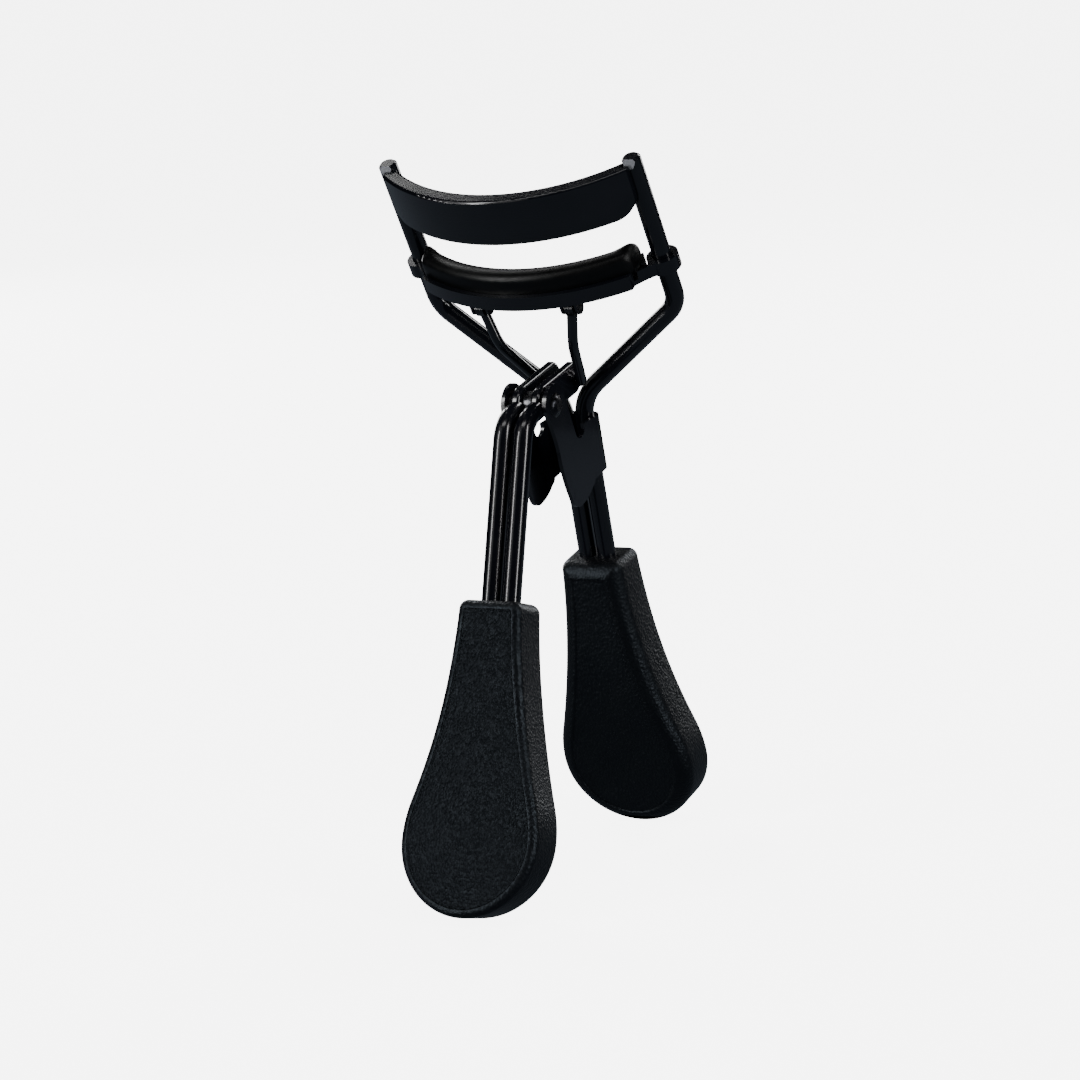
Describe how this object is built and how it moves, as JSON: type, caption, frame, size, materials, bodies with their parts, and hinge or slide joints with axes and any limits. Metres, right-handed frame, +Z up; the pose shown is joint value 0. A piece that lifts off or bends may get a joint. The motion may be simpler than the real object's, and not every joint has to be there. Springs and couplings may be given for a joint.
{
  "type": "eyelash curler",
  "caption": "Black squeeze-handle eyelash curler: curved fixed bar, sliding jaw with a rubber pad, wire frame, riveted hinge and two paddle grips.",
  "frame": {"origin": "centre of the footprint of the whole object, on the plane that both grip tips stand on", "axes": "+Z up from the plane that both grip tips stand on, towards the jaws; +X from the left side rod to the right one; -Y the convex side of the jaws, which faces away from the eye"},
  "size_m": [0.0403, 0.0596, 0.0966],
  "materials": {
    "black_metal": "gloss",
    "dark_steel": "satin",
    "black_rubber": "matte",
    "grip_shell": "satin",
    "soft_panel": "fine grain, matte"
  },
  "bodies": {
    "frame": {"frame_rod_left": "black_metal", "frame_rod_right": "black_metal", "upper_bar": "black_metal", "hinge_bracket": "black_metal", "hinge_pin": "dark_steel", "hinge_washers": "dark_steel", "hinge_spacer": "dark_steel", "rear_grip": "grip_shell", "rear_grip_cover": "soft_panel"},
    "handle": {"handle_rod_left": "black_metal", "handle_rod_right": "black_metal", "front_grip": "grip_shell", "front_grip_cover": "soft_panel"},
    "jaw": {"lower_jaw": "black_metal", "jaw_lug_left": "black_metal", "jaw_lug_right": "black_metal", "push_rod_pins": "dark_steel", "curling_pad": "black_rubber"},
    "push_rod_left": {"push_rod_left": "black_metal"},
    "push_rod_right": {"push_rod_right": "black_metal"}
  },
  "joints": [
    {"name": "handle_hinge", "type": "hinge", "parent": "frame", "child": "handle", "pos_m": [0, -0.00043, 0.06355], "axis": [1, 0, 0], "range_deg": [-4, 33]},
    {"name": "jaw_slide", "type": "slide", "parent": "frame", "child": "jaw", "axis": [0, -0.4894, 0.8721], "range_m": [-0.0006, 0.00485]},
    {"name": "push_rod_left_swing", "type": "hinge", "parent": "handle", "child": "push_rod_left", "pos_m": [0, 0.00785, 0.06544], "axis": [1, 0, 0], "range_deg": [-33.5, 4.5]},
    {"name": "push_rod_right_swing", "type": "hinge", "parent": "handle", "child": "push_rod_right", "pos_m": [0, 0.00785, 0.06544], "axis": [1, 0, 0], "range_deg": [-33.5, 4.5]}
  ],
  "couplings": [
    {"joint": "jaw_slide", "follows": "handle_hinge", "m_per_rad": 0.008383},
    {"joint": "push_rod_left_swing", "follows": "handle_hinge", "ratio": -1},
    {"joint": "push_rod_right_swing", "follows": "handle_hinge", "ratio": -1}
  ]
}
